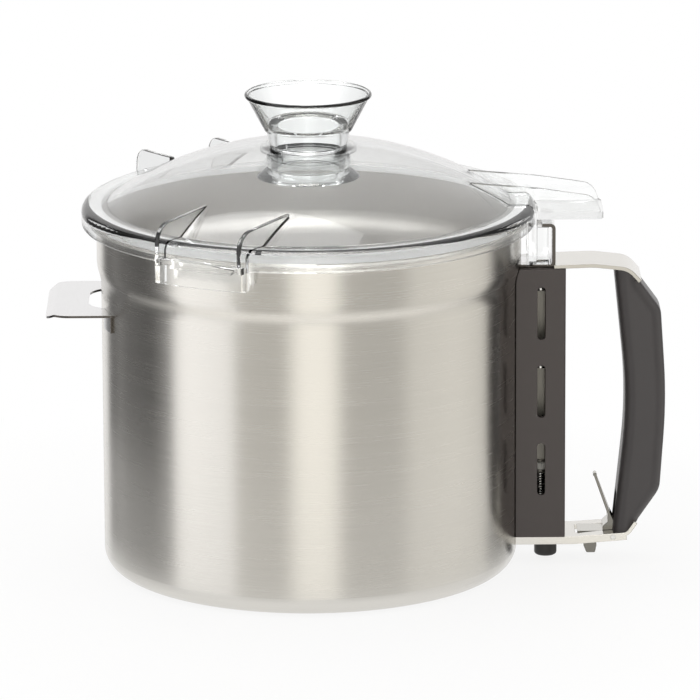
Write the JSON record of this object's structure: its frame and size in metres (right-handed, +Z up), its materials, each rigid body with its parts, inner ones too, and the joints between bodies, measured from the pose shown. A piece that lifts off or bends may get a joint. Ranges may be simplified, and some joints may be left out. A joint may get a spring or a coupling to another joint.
{
  "type": "cutter bowl",
  "caption": "Round stainless processing bowl with a clear domed bayonet lid, funnel knob, side handle with a latch trigger, and a spring-loaded lid interlock rod.",
  "frame": {"origin": "where the bowl's axis meets the surface that it stands on, at the foot of the drive column's bore", "axes": "+Z up along the bowl's axis, +X towards the handle, +Y to the back of the picture's view"},
  "size_m": [0.3272, 0.2414, 0.2553],
  "materials": {
    "bowl_steel": "fine circumferential brushing",
    "strap_steel": "satin, brushed along the strip",
    "rod_steel": "bright drawn",
    "blade_steel": "ground",
    "magnet_metal": "plated",
    "dark_plastic": "fine moulded texture",
    "foot_plastic": "smooth",
    "bush_plastic": "smooth",
    "hub_plastic": "satin",
    "clear_plastic": "clear polished",
    "clear_rubber": "translucent"
  },
  "bodies": {
    "bowl": {"bowl_shell": "bowl_steel", "drive_column": "bowl_steel", "side_ear": "strap_steel", "hook_bracket": "strap_steel", "handle_top_strap": "strap_steel", "handle_bottom_strap": "strap_steel", "interlock_housing": "dark_plastic", "housing_screws": "rod_steel", "upper_guide_bush": "bush_plastic", "lower_guide_bush": "bush_plastic", "trigger_pivot_pin": "rod_steel", "grip_core": "strap_steel", "handle_grip": "dark_plastic"},
    "rod": {"interlock_rod": "rod_steel", "rod_clips": "rod_steel", "rod_spring_seat": "bush_plastic", "rod_foot": "foot_plastic", "foot_magnet": "magnet_metal", "rod_spring": "rod_steel"},
    "trigger": {"trigger_lever": "strap_steel", "latch_pawl": "rod_steel", "trigger_spring": "rod_steel"},
    "lid": {"lid_dome": "clear_plastic", "lid_gasket": "clear_rubber", "lid_funnel": "clear_plastic", "funnel_seal": "clear_rubber", "funnel_collar": "clear_plastic"},
    "blades": {"blade_hub": "hub_plastic", "lower_blade": "blade_steel", "upper_blade": "blade_steel", "blade_spacer": "hub_plastic", "blade_nut": "hub_plastic"}
  },
  "joints": [
    {"name": "lid_twist", "type": "hinge", "parent": "bowl", "child": "lid", "pos_m": [0, 0, 0], "axis": [0, 0, 1], "range_deg": [0, 20]},
    {"name": "rod_lift", "type": "slide", "parent": "bowl", "child": "rod", "axis": [0, 0, 1], "range_m": [0, 0.004], "stiffness_N_per_m": 300, "springref_m": 0.008, "deforming": ["rod_spring"]},
    {"name": "trigger_squeeze", "type": "hinge", "parent": "bowl", "child": "trigger", "pos_m": [0.161, 0, 0.01546], "axis": [0, 1, 0], "range_deg": [0, 14], "stiffness_Nm_per_rad": 0.6, "springref_deg": -17.19},
    {"name": "blade_spin", "type": "hinge", "parent": "bowl", "child": "blades", "pos_m": [0, 0, 0], "axis": [0, 0, 1], "continuous": true}
  ],
  "couplings": [
    {"joint": "rod_lift", "follows": "lid_twist", "m_per_rad": 0.011459}
  ]
}
